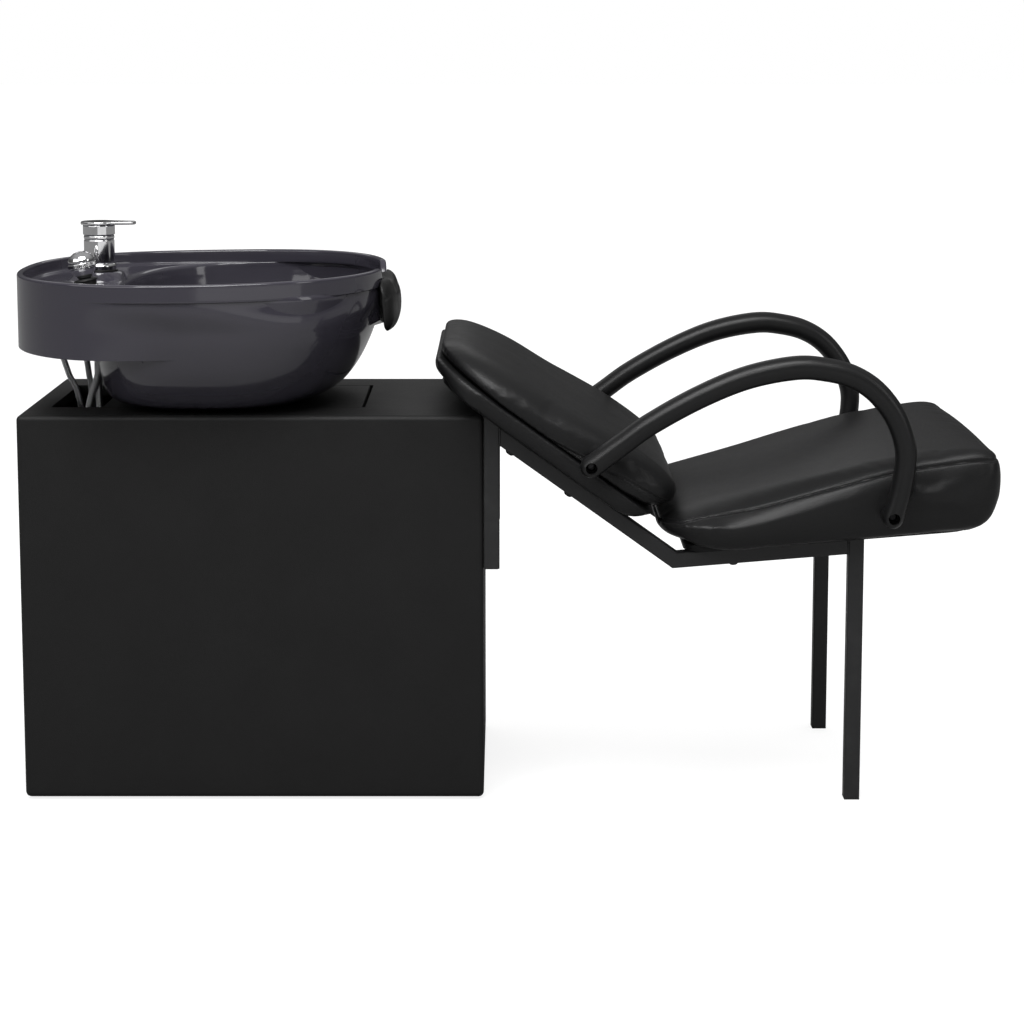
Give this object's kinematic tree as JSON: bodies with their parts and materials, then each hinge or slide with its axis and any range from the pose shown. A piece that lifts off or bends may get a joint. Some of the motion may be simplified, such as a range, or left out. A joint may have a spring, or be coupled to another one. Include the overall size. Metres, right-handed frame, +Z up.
{
  "type": "shampoo backwash unit",
  "caption": "Shampoo backwash unit: wrapped cabinet with a tilting basin, mixer tap and pull-out spray, joined to a reclined chair with loop armrests.",
  "frame": {"origin": "on the floor, under the centre of the bounding box", "axes": "+X from the basin towards the knees of the sitter, +Y to the far side, which is the left hand of someone facing the basin from the chair side, +Z up"},
  "size_m": [1.3842, 0.576, 0.8034],
  "materials": {
    "cabinet_wrap": "smooth satin black vinyl wrap on board",
    "bowl_abs": "glossy dark grey moulded plastic",
    "rubber": "matte black moulded rubber",
    "chrome": "polished chrome plate",
    "braided_steel": "braided stainless wire sleeve",
    "frame_steel": "satin dark grey powder coat",
    "plywood": "raw birch plywood",
    "faux_leather": "black faux leather with a fine grain",
    "arm_skin": "black integral-skin foam",
    "zinc": "black-plated steel fasteners"
  },
  "bodies": {
    "base": {"cabinet_shell": "cabinet_wrap", "rear_service_panel": "cabinet_wrap", "panel_screw_near": "zinc", "panel_screw_far": "zinc", "floor_glide_1": "rubber", "floor_glide_2": "rubber", "floor_glide_3": "rubber", "floor_glide_4": "rubber", "tilt_hinge_pin": "zinc", "tilt_hinge_block_near": "frame_steel", "tilt_hinge_block_far": "frame_steel", "drain_hose": "rubber", "hot_supply_hose": "braided_steel", "hot_union_nut": "zinc", "cold_supply_hose": "braided_steel", "cold_union_nut": "zinc", "upright_near": "frame_steel", "side_rail_near": "frame_steel", "front_leg_near": "frame_steel", "leg_foot_near": "rubber", "upright_far": "frame_steel", "side_rail_far": "frame_steel", "front_leg_far": "frame_steel", "leg_foot_far": "rubber", "cross_tube_back": "frame_steel", "cross_tube_seat": "frame_steel", "cross_tube_front": "frame_steel", "back_upper_bolt_near": "zinc", "back_upper_bolt_far": "zinc", "back_lower_bolt_near": "zinc", "back_lower_bolt_far": "zinc", "seat_bolt_near": "zinc", "seat_bolt_far": "zinc", "back_board": "plywood", "back_cover": "faux_leather", "back_cushion": "faux_leather", "seat_board": "plywood", "seat_cushion": "faux_leather", "armrest_near": "arm_skin", "arm_bolt_rear_near": "zinc", "arm_bolt_front_near": "zinc", "armrest_far": "arm_skin", "arm_bolt_rear_far": "zinc", "arm_bolt_front_far": "zinc"},
    "bowl": {"tilt_plate": "cabinet_wrap", "bowl_shell": "bowl_abs", "neck_rest": "rubber", "waste_flange": "chrome", "waste_nut": "rubber", "tap_gasket": "rubber", "mixer_body": "chrome", "mixer_nut": "zinc", "spray_socket": "rubber", "spray_hose": "braided_steel"},
    "lever_cap": {"lever_cap": "chrome"},
    "lever": {"mixer_lever": "chrome"},
    "spray": {"spray_grip": "chrome", "spray_knurl_ring": "chrome", "spray_dome": "chrome"},
    "strainer": {"hair_strainer": "chrome"}
  },
  "joints": [
    {"name": "bowl_tilt", "type": "hinge", "parent": "base", "child": "bowl", "pos_m": [-0.196, 0, 0.5275], "axis": [0, 1, 0], "range_deg": [0, 10], "deforming": ["drain_hose", "hot_supply_hose", "cold_supply_hose"]},
    {"name": "lever_swivel", "type": "hinge", "parent": "bowl", "child": "lever_cap", "pos_m": [-0.573, 0, 0.79], "axis": [0, 0, 1], "range_deg": [-45, 45]},
    {"name": "lever_lift", "type": "hinge", "parent": "lever_cap", "child": "lever", "pos_m": [-0.5992, 0, 0.7986], "axis": [0, -1, 0], "range_deg": [0, 22]},
    {"name": "spray_pull", "type": "slide", "parent": "bowl", "child": "spray", "axis": [-0.1987, 0, 0.9801], "range_m": [0, 0.07], "deforming": ["spray_hose"]},
    {"name": "strainer_lift", "type": "slide", "parent": "bowl", "child": "strainer", "axis": [0, 0, 1], "range_m": [0, 0.06]}
  ]
}
